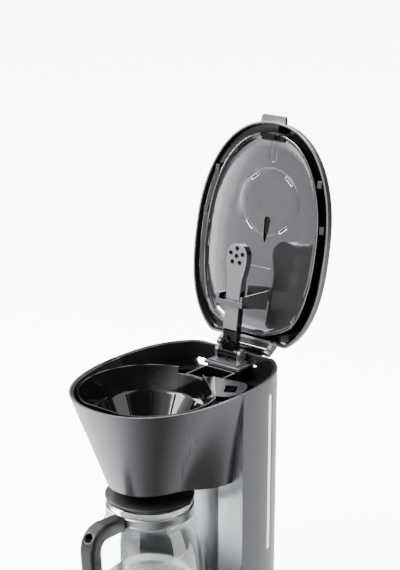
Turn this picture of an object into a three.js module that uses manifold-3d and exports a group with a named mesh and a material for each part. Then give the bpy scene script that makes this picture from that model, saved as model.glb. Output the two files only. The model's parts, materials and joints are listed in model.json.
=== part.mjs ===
// Drip coffee maker: a swing-up lid, a spout arm, a lift-out brew basket, a glass carafe and a warming plate.
// Millimetres, +Z up. y = 0 is the middle of the oval rim until the whole machine is shifted at the end.
import * as THREE from "three";
import { mergeVertices } from "three/addons/utils/BufferGeometryUtils.js";
import Module from "manifold-3d";

const wasm = await Module();
wasm.setup();

// ---- Driving dimensions ----
const GAP = 0.3; // between pieces that touch on the real machine
const SLIVER = 0.02;
const RIM_Z = 305; // top edge of the housing
const RIM = { halfWidth: 95.2, front: 135.9, rearReach: 126.7, back: 114.1 };
const LID = { halfWidth: 95.9, front: 142, rearReach: 132.4, back: 119.2 };
const FRONT_POWER = 2.22; // squareness of the front half of the oval
const REAR_POWER = 2.58; // squareness of the rear half
const WALL = 2.5; // outer mouldings
const LINER = 2; // inner mouldings
const TAPER = 0.36; // the filter housing narrows by this for each mm below the rim
const COLUMN_FRONT = 3; // y of the flat front of the rear column
const COLUMN_STEP = 0.4; // the column stands this far proud of the filter housing at the rim
const BREW_Y = -46; // axis of the basket, the filter well and the carafe
const HOUSING_FLOOR = 195; // underside of the filter housing
const BASE_TOP = 37;
const BASE_BOTTOM = 6;
const RECESS_RADIUS = 78; // hollow in the column behind the carafe
const DECK_Z = RIM_Z - 32; // floor of the tray under the lid
const DECK_THICKNESS = 2.4;
const BASKET_RADIUS = 79; // at its rim
const BASKET_TOP = RIM_Z - 2;
const BASKET_WALL = 2;
const HINGE = { y: 128.5, z: RIM_Z - 1.5, pinRadius: 2.2 };
const LID_OPEN = 100.3; // degrees, leaning on the stop
const ARM_PIVOT = { y: 101.5, z: RIM_Z };
const ARM_OPEN = 98.4; // degrees from level
const ARM_REACH = 116; // pivot to the middle of the shower head
const ARM_HALF_WIDTH = 9.8;
const HEAD_RADIUS = 14.3;
const YOKE = {
  inside: 15.2, outside: 18.4, front: 62, rear: 75, bottom: RIM_Z - 43, depth: 6.4, thickness: 3.6,
};
const PLATE_RADIUS = 64; // warming plate
const CARAFE_Z = 42.1; // underside of the glass
const SWITCH_Z = 21.5; // rocker axis height
const RISER = { y: 98, outer: 4.5, inner: 3 };
const OUTLET = { x: 40, y: 60 }; // tank outlet
const WINDOW = { y: 61.5, halfWidth: 4.7, top: RIM_Z - 19, bottom: 92 };
const CENTRE_SHIFT = -19.2; // brings the middle of the whole machine to y = 0

// ---- Solids and booleans ----
function solid(geometry) {
  const bare = geometry.index ? geometry.toNonIndexed() : geometry.clone();
  bare.deleteAttribute("normal");
  bare.deleteAttribute("uv");
  const merged = mergeVertices(bare, 1e-4);
  const vertProperties = Float32Array.from(merged.attributes.position.array);
  const triVerts = Uint32Array.from(merged.index.array);
  const build = () => new wasm.Manifold(new wasm.Mesh({ numProp: 3, vertProperties, triVerts }));
  const made = build();
  if (made.volume() > 0) return made;
  for (let i = 0; i < triVerts.length; i += 3) {
    [triVerts[i + 1], triVerts[i + 2]] = [triVerts[i + 2], triVerts[i + 1]];
  }
  return build();
}

// Cuts leave slivers thinner than anything that matters; they are melted into their neighbours.
function toGeometry(manifold) {
  const mesh = manifold.simplify(SLIVER).getMesh();
  const geometry = new THREE.BufferGeometry();
  geometry.setAttribute("position", new THREE.BufferAttribute(Float32Array.from(mesh.vertProperties), 3));
  geometry.setIndex(new THREE.BufferAttribute(Uint32Array.from(mesh.triVerts), 1));
  geometry.computeVertexNormals();
  return geometry;
}

function box(x0, x1, y0, y1, z0, z1) {
  const geometry = new THREE.BoxGeometry(x1 - x0, y1 - y0, z1 - z0);
  return solid(geometry.translate((x0 + x1) / 2, (y0 + y1) / 2, (z0 + z1) / 2));
}

function upright(radius, x, y, z0, z1, sides = 24) {
  const geometry = new THREE.CylinderGeometry(radius, radius, z1 - z0, sides);
  return solid(geometry.rotateX(Math.PI / 2).translate(x, y, (z0 + z1) / 2));
}

function alongX(radius, x0, x1, y, z, sides = 18) {
  const geometry = new THREE.CylinderGeometry(radius, radius, x1 - x0, sides);
  return solid(geometry.rotateZ(-Math.PI / 2).translate((x0 + x1) / 2, y, z));
}

function alongY(radius, y0, y1, x, z, sides = 18) {
  const geometry = new THREE.CylinderGeometry(radius, radius, y1 - y0, sides);
  return solid(geometry.translate(x, (y0 + y1) / 2, z));
}

// A body of revolution round the upright line at (x, y); the profile is [radius, z] pairs, bottom to top.
function turned(profile, x, y, sides = 30) {
  const points = profile.map(([radius, z]) => new THREE.Vector2(radius, z));
  const geometry = new THREE.LatheGeometry(points, sides);
  return solid(geometry.rotateX(Math.PI / 2).translate(x, y, 0));
}

function prism(points, z0, z1) {
  const shape = new THREE.Shape(points.map(([x, y]) => new THREE.Vector2(x, y)));
  const geometry = new THREE.ExtrudeGeometry(shape, { depth: z1 - z0, bevelEnabled: false });
  return solid(geometry.translate(0, 0, z0));
}

// A side profile of [y, z] points pulled out along X.
function sidePrism(points, x0, x1) {
  const shape = new THREE.Shape(points.map(([y, z]) => new THREE.Vector2(y, z)));
  const geometry = new THREE.ExtrudeGeometry(shape, { depth: x1 - x0, bevelEnabled: false });
  const turn = new THREE.Matrix4().makeBasis(
    new THREE.Vector3(0, 1, 0), new THREE.Vector3(0, 0, 1), new THREE.Vector3(1, 0, 0));
  return solid(geometry.applyMatrix4(turn).translate(x0, 0, 0));
}

// A closed skin through level outlines that all have the same number of points.
function stack(levels) {
  const count = levels[0].outline.length;
  const positions = levels.flatMap(({ outline, z }) => outline.flatMap(([x, y]) => [x, y, z]));
  const indices = [];
  for (let level = 0; level + 1 < levels.length; level += 1) {
    for (let i = 0; i < count; i += 1) {
      const a = level * count + i;
      const b = level * count + ((i + 1) % count);
      indices.push(a, b, b + count, a, b + count, a + count);
    }
  }
  const cap = THREE.ShapeUtils.triangulateShape(
    levels[0].outline.map(([x, y]) => new THREE.Vector2(x, y)), []);
  const top = (levels.length - 1) * count;
  cap.forEach(([a, b, c]) => indices.push(a, c, b, top + a, top + b, top + c));
  const geometry = new THREE.BufferGeometry();
  geometry.setAttribute("position", new THREE.Float32BufferAttribute(positions, 3));
  geometry.setIndex(indices);
  return solid(geometry);
}

// A hose or a bent tube along a smooth curve; an inner radius of 0 makes it solid.
function bentTube(points, outer, inner, steps, sides = 8) {
  const ring = new THREE.Shape();
  ring.absarc(0, 0, outer, 0, Math.PI * 2, false);
  if (inner > 0) {
    const bore = new THREE.Path();
    bore.absarc(0, 0, inner, 0, Math.PI * 2, true);
    ring.holes.push(bore);
  }
  const path = new THREE.CatmullRomCurve3(points.map((p) => new THREE.Vector3(...p)), false, "centripetal");
  return solid(new THREE.ExtrudeGeometry(ring, {
    steps, curveSegments: sides, bevelEnabled: false, extrudePath: path }));
}

// ---- Outlines ----
// The egg-shaped plan: two half superellipses, the rear one cut straight across at the back.
function oval(size, inset = 0, frontSteps = 24, sideSteps = 6) {
  const halfWidth = size.halfWidth - inset;
  const reach = size.rearReach - inset;
  const back = size.back - inset;
  const end = Math.asin((back / reach) ** (REAR_POWER / 2));
  const rear = [];
  for (let i = 0; i <= sideSteps; i += 1) {
    const t = (end * i) / sideSteps;
    rear.push([halfWidth * Math.cos(t) ** (2 / REAR_POWER), reach * Math.sin(t) ** (2 / REAR_POWER)]);
  }
  const points = [...rear, ...rear.toReversed().map(([x, y]) => [-x, y])];
  for (let i = 1; i < frontSteps; i += 1) {
    const t = (Math.PI * i) / frontSteps;
    const side = Math.abs(Math.cos(t)) ** (2 / FRONT_POWER) * Math.sign(-Math.cos(t));
    points.push([halfWidth * side, -(size.front - inset) * Math.sin(t) ** (2 / FRONT_POWER)]);
  }
  return points;
}

function roundedSlot(x, y, length, width, degrees, z0, z1, sides = 6) {
  const half = (length - width) / 2;
  const turn = THREE.MathUtils.degToRad(degrees);
  const points = [];
  for (const end of [1, -1]) {
    for (let i = 0; i <= sides; i += 1) {
      const t = (end > 0 ? -Math.PI / 2 : Math.PI / 2) + (Math.PI * i) / sides;
      const u = end * half + (width / 2) * Math.cos(t);
      const v = (width / 2) * Math.sin(t);
      points.push([x + u * Math.cos(turn) - v * Math.sin(turn), y + u * Math.sin(turn) + v * Math.cos(turn)]);
    }
  }
  return prism(points, z0, z1);
}

// ---- Housing ----
function column(inset, z0, z1) {
  const front = COLUMN_FRONT + inset;
  return prism(oval(RIM, inset), z0, z1).intersect(box(-120, 120, front, 130, z0 - 1, z1 + 1));
}

// The filter housing narrows downwards; the column behind it stays upright.
function upperBody(inset, z0, z1) {
  const level = (z) => ({ outline: oval(RIM, inset + COLUMN_STEP + TAPER * (RIM_Z - z)), z });
  return stack([level(z0), level(z1)]).add(column(inset, z0, z1));
}

function windowCut(margin) {
  const { y, halfWidth, top, bottom } = WINDOW;
  const half = halfWidth - margin;
  const straight = box(80, 100, y - half, y + half, bottom + margin, top - halfWidth);
  return straight.add(alongX(half, 80, 100, y, top - halfWidth));
}

function overflowCut() {
  const hole = roundedSlot(-49, RIM_Z - 26, 17, 10, 0, -125, -100);
  return hole.rotate([90, 0, 0]);
}

function steamNotches() {
  const notch = (x) => {
    const z = RIM_Z - 13.5;
    return prism([[x - 4.4, z + 2.6], [x - 4.4, z - 3], [x + 4.6, z]], -125, -100).rotate([90, 0, 0]);
  };
  return notch(18.7).add(notch(30.5));
}

function outerHousing() {
  const columnBottom = BASE_TOP + GAP;
  const recess = (radius, top) => upright(radius, 0, BREW_Y, columnBottom - 2, top, 64);
  const outside = upperBody(0, HOUSING_FLOOR, RIM_Z).add(column(0, columnBottom, HOUSING_FLOOR + 0.1))
    .subtract(recess(RECESS_RADIUS, HOUSING_FLOOR));
  const inside = upperBody(WALL, HOUSING_FLOOR + WALL, RIM_Z + 1)
    .add(column(WALL, columnBottom - 1, HOUSING_FLOOR + WALL + 0.1))
    .subtract(recess(RECESS_RADIUS + WALL, HOUSING_FLOOR + WALL));
  return outside.subtract(inside)
    .subtract(upright(16, 0, BREW_Y, HOUSING_FLOOR - 1, HOUSING_FLOOR + WALL + 1))
    .subtract(windowCut(0)).subtract(overflowCut()).subtract(steamNotches());
}

function levelWindow() {
  const { top, bottom } = WINDOW;
  const skin = prism(oval(RIM, GAP), bottom, top).subtract(prism(oval(RIM, WALL - 0.2), bottom - 1, top + 1));
  return skin.intersect(windowCut(GAP));
}

function topTray() {
  const outside = upperBody(WALL + GAP, DECK_Z - DECK_THICKNESS, RIM_Z - 0.8);
  const inside = upperBody(WALL + GAP + LINER, DECK_Z, RIM_Z + 1);
  const fillOpening = (side) => {
    const edge = prism(oval(RIM, 14), DECK_Z - 5, DECK_Z + 5);
    const area = box(side > 0 ? 27 : -84, side > 0 ? 84 : -27, 34, 98, DECK_Z - 5, DECK_Z + 5);
    return edge.intersect(area).subtract(upright(78, 0, BREW_Y, DECK_Z - 6, DECK_Z + 6));
  };
  return outside.subtract(inside)
    .subtract(upright(67.8, 0, BREW_Y, DECK_Z - 5, DECK_Z + 5, 40))
    .subtract(fillOpening(1)).subtract(fillOpening(-1))
    .subtract(box(-20, 20, 47, 82, DECK_Z - 5, DECK_Z + 5))
    .subtract(upright(RISER.outer + 0.6, 0, RISER.y, DECK_Z - 5, DECK_Z + 5, 16))
    .subtract(overflowCut()).subtract(steamNotches());
}

function yokePocket() {
  const z0 = DECK_Z + GAP;
  return box(-22.5, 22.5, 45, 83.6, z0, RIM_Z - 16).subtract(box(-20, 20, 47, 81.6, z0 - 1, RIM_Z));
}

function filterWell() {
  const top = DECK_Z - DECK_THICKNESS - GAP;
  const bottom = HOUSING_FLOOR + WALL + 0.6;
  return turned([
    [10, bottom], [43.5, bottom], [70.8, top], [68.8, top],
    [42, bottom + LINER], [10, bottom + LINER], [10, bottom],
  ], 0, BREW_Y, 40);
}

function waterTank() {
  const z0 = 62;
  const z1 = DECK_Z - DECK_THICKNESS - 0.5;
  const shell = (inset, bottom, clear) => prism(oval(RIM, inset), bottom, z1 + (clear ? 1 : 0))
    .subtract(upright(RECESS_RADIUS + 3.6 + (clear ? LINER : 0), 0, BREW_Y, bottom - 1, z1 + 2, 64))
    .subtract(box(-120, 120, -150, 14 + (clear ? LINER : 0), bottom - 1, z1 + 2))
    .subtract(box(-7 - (clear ? LINER : 0), 7 + (clear ? LINER : 0), 90 - (clear ? LINER : 0), 130,
      bottom - 1, z1 + 2));
  const nipple = upright(6, OUTLET.x, OUTLET.y, 53, z0 + 1, 20);
  return shell(8.6, z0, false).subtract(shell(8.6 + LINER, z0 + LINER, true)).add(nipple)
    .subtract(upright(3.8, OUTLET.x, OUTLET.y, 50, z0 + 4, 16));
}

function levelFloat() {
  return turned([[0, -7], [1.5, -6], [1.9, -4.6], [1.9, 4.6], [1.5, 6], [0, 7]], 83.6, WINDOW.y, 12)
    .translate([0, 0, WINDOW.bottom + 8]);
}

// ---- Base ----
const SCREW_PLACES = [[-62, -92], [62, -92], [-66, 66], [66, 66]];

function baseHousing() {
  const shell = prism(oval(RIM), BASE_BOTTOM, BASE_TOP)
    .subtract(prism(oval(RIM, WALL), BASE_BOTTOM - 1, BASE_TOP - WALL))
    .subtract(upright(PLATE_RADIUS - 6, 0, BREW_Y, BASE_TOP - 5, BASE_TOP + 5, 40));
  const hosePassage = prism(oval(RIM, 8), BASE_TOP - 5, BASE_TOP + 5)
    .subtract(upright(RECESS_RADIUS + 8, 0, BREW_Y, BASE_TOP - 6, BASE_TOP + 6, 56))
    .intersect(box(-54, 54, 24, 108, BASE_TOP - 6, BASE_TOP + 6));
  let housing = shell.subtract(hosePassage)
    .subtract(box(-11.3, 11.3, -150, -120, SWITCH_Z - 10.8, SWITCH_Z + 10.8))
    .subtract(alongY(3.4, -150, -120, 24, SWITCH_Z, 20))
    .subtract(alongY(6.3, 100, 125, 32, 20, 20));
  for (const [x, y] of SCREW_PLACES) {
    housing = housing.add(upright(4.6, x, y, BASE_BOTTOM + 3, BASE_TOP - 1, 16))
      .subtract(upright(1.9, x, y, BASE_BOTTOM, BASE_TOP - 6, 12));
  }
  return housing;
}

function basePlate() {
  let plate = prism(oval(RIM, WALL + GAP), BASE_BOTTOM, BASE_BOTTOM + 2.4);
  for (const [x, y] of SCREW_PLACES) {
    plate = plate.subtract(upright(2.2, x, y, BASE_BOTTOM - 1, BASE_BOTTOM + 4, 12));
  }
  for (let i = -3; i <= 3; i += 1) {
    plate = plate.subtract(roundedSlot(i * 9, 20, 34, 3.4, 90, BASE_BOTTOM - 1, BASE_BOTTOM + 4, 4));
  }
  return plate;
}

function foot() {
  const top = BASE_BOTTOM - GAP;
  return turned([[0, 0], [7.2, 0], [8, 0.8], [8, 4.6], [7.2, top], [0, top]], 0, 0, 18);
}

function baseScrew() {
  const head = BASE_BOTTOM - GAP;
  return turned([
    [0, head - 2.2], [2.6, head - 2], [3.4, head - 0.9], [3.4, head],
    [1.6, head], [1.6, 24], [0, 25],
  ], 0, 0, 10);
}

function warmingPlate() {
  const z = BASE_TOP + 1.7;
  return turned([
    [0, z], [PLATE_RADIUS - 1, z], [PLATE_RADIUS, z + 0.8], [PLATE_RADIUS, z + 2.4],
    [PLATE_RADIUS - 1.2, z + 3.2], [PLATE_RADIUS - 3, z + 3.2], [PLATE_RADIUS - 4.2, z + 2.9], [0, z + 2.9],
  ], 0, BREW_Y, 40);
}

function plateGasket() {
  const z0 = BASE_TOP + GAP;
  const z1 = BASE_TOP + 1.4;
  return turned([[58.6, z0], [65.2, z0], [65.2, z1], [58.6, z1], [58.6, z0]], 0, BREW_Y, 40);
}

function heaterTube() {
  const radius = 40;
  const z = BASE_TOP - 4.6;
  const points = [[-33, 6, z - 6], [-35, -6, z - 3.4], [-38, -22, z]];
  for (let i = 0; i <= 8; i += 1) {
    const t = Math.PI + (Math.PI * i) / 8;
    points.push([radius * Math.cos(t), BREW_Y + radius * Math.sin(t), z]);
  }
  points.push([38, -22, z], [35, -6, z - 3.4], [33, 6, z - 6]);
  return bentTube(points, 5.6, 3.2, 26, 4);
}

function thermostat() {
  const z = BASE_TOP + 1.3;
  return turned([[0, z - 12], [8, z - 12], [8, z - 5], [11, z - 4.4], [11, z], [0, z]], 0, BREW_Y, 24);
}

function thermalFuse() {
  return alongX(3, -13, 13, BREW_Y + 20, BASE_TOP - 2.6, 14);
}

function checkValve() {
  const bore = 3.2;
  return turned([
    [bore, 41], [5, 41], [5, 44], [7.4, 44.6], [7.4, 51.4], [6, 52.7], [bore, 52.7], [bore, 41],
  ], OUTLET.x, OUTLET.y, 20);
}

function coldHose() {
  return bentTube([
    [OUTLET.x, OUTLET.y, 40.6], [OUTLET.x, OUTLET.y, 35], [OUTLET.x - 1, OUTLET.y - 7, 27],
    [OUTLET.x - 3, 34, 25], [34, 18, 25], [33, 8.6, 25.6],
  ], 5, 3.2, 14, 4);
}

function hotHose() {
  return bentTube([
    [-33, 8.6, 25.6], [-35, 20, 25], [-34, 42, 25], [-24, 70, 24.6], [-8, 91, 24.6],
    [-1, 97, 31], [0, RISER.y, 38], [0, RISER.y, 46.8],
  ], 5, 3.2, 18, 4);
}

function riserTube() {
  const z0 = 47.4;
  const z1 = RIM_Z - 17;
  const { inner, outer, y } = RISER;
  return turned([[inner, z0], [outer, z0], [outer, z1], [inner, z1], [inner, z0]], 0, y, 16);
}

// ---- Switch, lamp and cord entry ----
function rockerBezel() {
  const frame = box(-13.4, 13.4, -137.6, -136.2, SWITCH_Z - 13, SWITCH_Z + 13)
    .add(box(-11, 11, -136.3, -126, SWITCH_Z - 10.5, SWITCH_Z + 10.5));
  return frame.subtract(box(-9.2, 9.2, -140, -120, SWITCH_Z - 9.2, SWITCH_Z + 9.2));
}

function powerRocker() {
  const face = [[7.6, 6.6], [4.6, 7.9], [-3, 5], [-3, -5], [3.4, -7.9], [5.6, -6.6], [5, 0.4]];
  return sidePrism(face.map(([out, up]) => [-131.4 - out, SWITCH_Z + up]), -8.8, 8.8);
}

function switchBody() {
  const tag = (z) => box(-2, 2, -108.5, -101, z - 0.5, z + 0.5);
  return box(-10.4, 10.4, -125.6, -108, SWITCH_Z - 8, SWITCH_Z + 8)
    .add(tag(SWITCH_Z - 5.5)).add(tag(SWITCH_Z + 5.5));
}

function indicatorLens() {
  return turned([[0, 0], [3, 0], [3, 6], [2.2, 7.4], [0, 7.8]], 0, 0, 20).rotate([90, 0, 0])
    .translate([24, -126.6, SWITCH_Z]);
}

function cordGland() {
  const sleeve = alongY(6, 106, 118, 32, 20, 20).add(alongY(8, 114.5, 117, 32, 20, 20));
  return sleeve.subtract(alongY(3.4, 100, 120, 32, 20, 14));
}

// ---- Spout arm ----
// Half width of the arm at a distance from its pivot: a straight neck that swells into the round head.
function armOutline(margin, from) {
  const start = ARM_REACH - 34;
  const points = [];
  for (let i = 0; i <= 6; i += 1) {
    const s = i / 6;
    const blend = s * s * (3 - 2 * s);
    const width = ARM_HALF_WIDTH + (HEAD_RADIUS - ARM_HALF_WIDTH) * blend;
    points.push([width - margin, start + 30 * s]);
  }
  for (let i = 1; i < 12; i += 1) {
    const t = (Math.PI * i) / 12;
    points.push([(HEAD_RADIUS - margin) * Math.cos(t), ARM_REACH + (HEAD_RADIUS - margin) * Math.sin(t)]);
  }
  const mirrored = points.slice(0, 7).toReversed().map(([x, y]) => [-x, y]);
  return [[ARM_HALF_WIDTH - margin, from], ...points, ...mirrored, [-ARM_HALF_WIDTH + margin, from]]
    .map(([x, along]) => [x, ARM_PIVOT.y - along]);
}

function spoutArm() {
  const z = ARM_PIVOT.z;
  const body = prism(armOutline(0, 4), z - 4.2, z + 5);
  const duct = prism(armOutline(2, 14), z - 5, z + 3);
  const barrel = alongX(6.2, -13.6, 13.6, ARM_PIVOT.y, z, 28);
  const inlet = upright(2.6, 0, ARM_PIVOT.y - 17, z - 6, z, 14);
  return body.subtract(duct).add(barrel).add(box(-9, 9, ARM_PIVOT.y - 26, ARM_PIVOT.y - 3, z - 5.6, z - 3.6))
    .subtract(inlet).subtract(alongX(2.3, -20, 20, ARM_PIVOT.y, z, 16));
}

function spoutPlate() {
  const z = ARM_PIVOT.z;
  let plate = prism(armOutline(0, 28), z - 6, z - 4.5);
  const centre = ARM_PIVOT.y - ARM_REACH;
  const hole = 2.2;
  plate = plate.subtract(upright(hole, 0, centre, z - 8, z, 16));
  for (let i = 0; i < 5; i += 1) {
    const t = Math.PI / 2 + (2 * Math.PI * i) / 5;
    plate = plate.subtract(upright(hole, 9 * Math.cos(t), centre - 9 * Math.sin(t), z - 8, z, 16));
  }
  return plate;
}

function armBracket() {
  const { y, z } = ARM_PIVOT;
  const step = box(-26, 26, 84.2, 108.4, z - 14.6, z - 11.6);
  const upper = box(-21, 21, 87, 108, z - 12, z - 9);
  const leg = box(-16, 16, 86, 108, DECK_Z + GAP, z - 14);
  const ear = (x0, x1) => alongX(6.2, x0, x1, y, z, 24).add(box(x0, x1, y - 6.2, y + 6.2, z - 10, z));
  return step.add(upper).add(leg).add(ear(-18.4, -14.2)).add(ear(14.2, 18.4))
    .subtract(upright(RISER.outer + 0.4, 0, RISER.y, DECK_Z - 1, z - 16, 16))
    .subtract(upright(RISER.inner, 0, RISER.y, z - 20, z - 5, 14))
    .subtract(alongX(2.3, -22, 22, y, z, 16));
}

function armPin() {
  return alongX(2, -19.4, 19.4, ARM_PIVOT.y, ARM_PIVOT.z, 16);
}

// ---- Lid, drawn shut ----
function lidShell() {
  const lip = RIM_Z + 2;
  const level = (inset, z) => ({ outline: oval(LID, inset), z });
  const outside = stack([
    level(0, lip), level(0, lip + 8.7), level(1.6, lip + 10.8), level(7, lip + 12.6), level(26, lip + 15.1),
    level(60, lip + 16.8),
  ]);
  const inside = stack([
    level(WALL, lip - 1), level(WALL, lip + 7.8), level(8, lip + 10.3), level(27, lip + 12.8),
    level(60, lip + 14.5),
  ]);
  const tab = roundedTab(lip);
  const ear = (side) => {
    const x0 = side > 0 ? 33 : -38.4;
    const arm = sidePrism([
      [HINGE.y - 12, lip + 9.4], [HINGE.y - 12, lip + 1], [HINGE.y - 4, HINGE.z - 1],
      [HINGE.y + 3, HINGE.z - 1], [HINGE.y + 4, HINGE.z + 2], [HINGE.y - 4, lip + 9.4],
    ], x0, x0 + 5.4);
    return arm.add(alongX(4.6, x0, x0 + 5.4, HINGE.y, HINGE.z, 24))
      .subtract(alongX(HINGE.pinRadius + 0.3, x0 - 1, x0 + 7, HINGE.y, HINGE.z, 16));
  };
  const knobRoom = box(-40, 40, 60, LID.back - WALL, lip - 2, lip + 7);
  return outside.subtract(inside).add(tab).add(ear(1).subtract(knobRoom)).add(ear(-1).subtract(knobRoom));
}

function roundedTab(lip) {
  const corner = 4;
  const front = -(LID.front + 8);
  const points = [[-18.5, -LID.front + 4], [-17.5, front + corner]];
  for (let i = 0; i <= 4; i += 1) {
    const t = Math.PI + (Math.PI / 2) * (i / 4);
    points.push([-17.5 + corner + corner * Math.cos(t), front + corner + corner * Math.sin(t)]);
  }
  for (let i = 0; i <= 4; i += 1) {
    const t = -Math.PI / 2 + (Math.PI / 2) * (i / 4);
    points.push([17.5 - corner + corner * Math.cos(t), front + corner + corner * Math.sin(t)]);
  }
  points.push([18.5, -LID.front + 4]);
  return prism(points, lip + 0.6, lip + 5.4).subtract(prism(oval(LID, 1), lip - 1, lip + 8));
}

// The inner cover: a shallow dish with a raised edge, clipped into the shell. Its rear corners are cut off.
const COVER = { halfWidth: 81, front: 129, rearReach: 128, back: 113 };
const COVER_REAR = [[80.5, 20], [78.5, 42], [74, 64], [67.5, 83], [60, 95], [46, 103], [21, 112]];

function coverOutline(inset) {
  const shrink = 1 - inset / COVER.halfWidth;
  const right = COVER_REAR.map(([x, y]) => [x * shrink, y * (1 - inset / COVER.back)]);
  const front = oval(COVER, inset).filter(([, y]) => y <= 0.01);
  const [first, ...rest] = front;
  return [first, ...right, ...right.toReversed().map(([x, y]) => [-x, y]), ...rest];
}

function lidCover() {
  const edge = RIM_Z + 3.2;
  const level = (inset, z) => ({ outline: coverOutline(inset), z });
  const outside = stack([
    level(0, edge), level(0, edge + 2), level(8, edge + 6.5), level(22, edge + 10.8),
    level(44, edge + 12),
  ]);
  const inside = stack([
    level(1.8, edge - 1), level(1.8, edge + 0.6), level(10, edge + 4.9), level(24, edge + 9.2),
    level(46, edge + 10.3),
  ]);
  let cover = outside.subtract(inside);
  const slots = [[-24.5, 29, -40], [24.5, 29, 40], [-24.5, -29, 40], [24.5, -29, -40]];
  for (const [x, y, turn] of slots) {
    cover = cover.subtract(roundedSlot(x, BREW_Y - y, 14.5, 2.6, turn, edge - 2, edge + 20, 4));
  }
  return cover.subtract(roundedSlot(0, -12, 30, 4.4, 90, edge - 2, edge + 20))
    .subtract(box(-17, 17, -140, -119.5, edge - 3, edge + 20));
}

function lidYoke() {
  const { inside, outside, front, rear, bottom, depth, thickness } = YOKE;
  const top = RIM_Z + 9.6;
  const bar = box(-outside - 1.4, outside + 1.4, rear - depth, rear, bottom, bottom + thickness);
  const leg = (x0, x1) => sidePrism([
    [front, bottom], [rear, bottom], [rear + 5, top], [front - 5, top],
  ], x0, x1);
  return bar.add(leg(-outside, -inside)).add(leg(inside, outside));
}

function lidLatch() {
  const z = RIM_Z + 3.6;
  return box(-16.4, 16.4, -126.8, -120.1, z + 2, z + 9)
    .add(box(-7, 7, -126.2, -121, z - 5, z + 3)).add(box(-7, 7, -128.6, -125.8, z - 5, z - 2.6));
}

function lidClip() {
  const z = RIM_Z + 3.6;
  return box(-3, 3, -4.4, 4.4, z, z + 6.4);
}

function hingeBracket() {
  const { y, z } = HINGE;
  const tube = alongX(4.2, -32.6, 32.6, y, z, 24);
  const web = box(-30, 30, RIM.back + GAP, y, z - 3.6, z - 0.6);
  const foundation = box(-30, 30, RIM.back + GAP, RIM.back + 3.4, z - 8.6, z - 0.6);
  return tube.add(web).add(foundation).subtract(alongX(HINGE.pinRadius + 0.3, -40, 40, y, z, 16));
}

function hingePin() {
  return alongX(HINGE.pinRadius, -37.8, 37.8, HINGE.y, HINGE.z, 16);
}

// ---- Brew basket and drip valve ----
const BASKET_FLAT = 74; // distance of the front flat from the basket axis
const FACET = { distance: 68.5, degrees: 49.5 }; // flat that carries the grip
const GRIP_Z = BASKET_TOP - 5;

function basketBounds(inset) {
  const turn = THREE.MathUtils.degToRad(FACET.degrees);
  const slab = new THREE.BoxGeometry(400, 400, 400);
  slab.translate(FACET.distance - inset - 200, 0, 0).rotateZ(turn).translate(0, BREW_Y, 250);
  return solid(slab).intersect(box(-100, 100, BREW_Y - BASKET_FLAT + inset, 100, 150, 320));
}

function basketGrip() {
  const plate = new THREE.Shape();
  plate.moveTo(20, 26);
  plate.lineTo(30, 34);
  plate.lineTo(62, 39.5);
  plate.quadraticCurveTo(76, 40, 80, 29);
  plate.quadraticCurveTo(86, 14, 83, 4);
  plate.quadraticCurveTo(80, -8, 68, -12);
  plate.lineTo(58, -14);
  const outline = plate.getPoints(6).map(({ x, y }) => [x, y]);
  const fingerHole = [[56, 21], [69, 27], [78, 10], [67, 3]];
  return prism(outline, GRIP_Z, GRIP_Z + 3).subtract(prism(fingerHole, GRIP_Z - 1, GRIP_Z + 4));
}

function brewBasket() {
  const top = BASKET_TOP;
  const shoulder = DECK_Z + GAP;
  const bottom = 206;
  const outside = turned([
    [0, bottom], [27, bottom], [66.6, shoulder - 3], [66.6, shoulder], [70, shoulder],
    [BASKET_RADIUS, top], [0, top],
  ], 0, BREW_Y, 40);
  const inner = bottom + 2.4;
  const inside = turned([
    [0, inner], [25.4, inner], [64.4, shoulder - 1], [68, shoulder + 2],
    [BASKET_RADIUS - BASKET_WALL, top + 1], [0, top + 1],
  ], 0, BREW_Y, 40);
  const armNotch = box(-18, 19, 10, 60, top - 7, top + 5);
  return outside.intersect(basketBounds(0))
    .add(basketGrip().subtract(upright(66, 0, BREW_Y, 250, 320, 48)))
    .subtract(inside.intersect(basketBounds(BASKET_WALL)))
    .subtract(armNotch).subtract(upright(4, 0, BREW_Y, bottom - 2, inner + 2, 16));
}

function dripValve() {
  return turned([
    [0, 190.4], [2.2, 191.2], [3, 193], [3, 210.9], [7.6, 210.9],
    [7.6, 212.6], [2, 213.4], [2, 217.6], [0, 217.6],
  ], 0, BREW_Y, 20);
}

function valveSeal() {
  return turned([[4, 208.8], [6.6, 208.8], [7, 210.5], [4, 210.5], [4, 208.8]], 0, BREW_Y, 20);
}

function valveSpring() {
  const points = [];
  for (let i = 0; i <= 40; i += 1) {
    const t = (2 * Math.PI * i) / 10;
    points.push([3.4 * Math.cos(t), BREW_Y + 3.4 * Math.sin(t), 213.9 + 4.2 * (i / 40)]);
  }
  return bentTube(points, 0.4, 0, 40, 2);
}

function valveCage() {
  const top = 226;
  const floor = 208.7;
  const cap = turned([[0, top - 2], [10.6, top - 2], [10.6, top], [0, top]], 0, BREW_Y, 20);
  const ring = turned([[8.6, floor], [12.6, floor], [12.6, floor + 2], [8.6, floor + 2], [8.6, floor]],
    0, BREW_Y, 20);
  let cage = cap.add(ring);
  for (let i = 0; i < 3; i += 1) {
    const post = box(8.8, 11.4, -1.6, 1.6, floor + 1, top - 1);
    cage = cage.add(post.rotate([0, 0, 120 * i + 30]).translate([0, BREW_Y, 0]));
  }
  return cage;
}

// ---- Carafe ----
const GLASS_PROFILE = [ // radius and height above the warming plate
  [0, 0], [52, 0], [60, 6], [65, 24], [66, 44], [63, 74], [54, 100], [47.5, 112], [47.5, 126], [49.5, 132],
];

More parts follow.
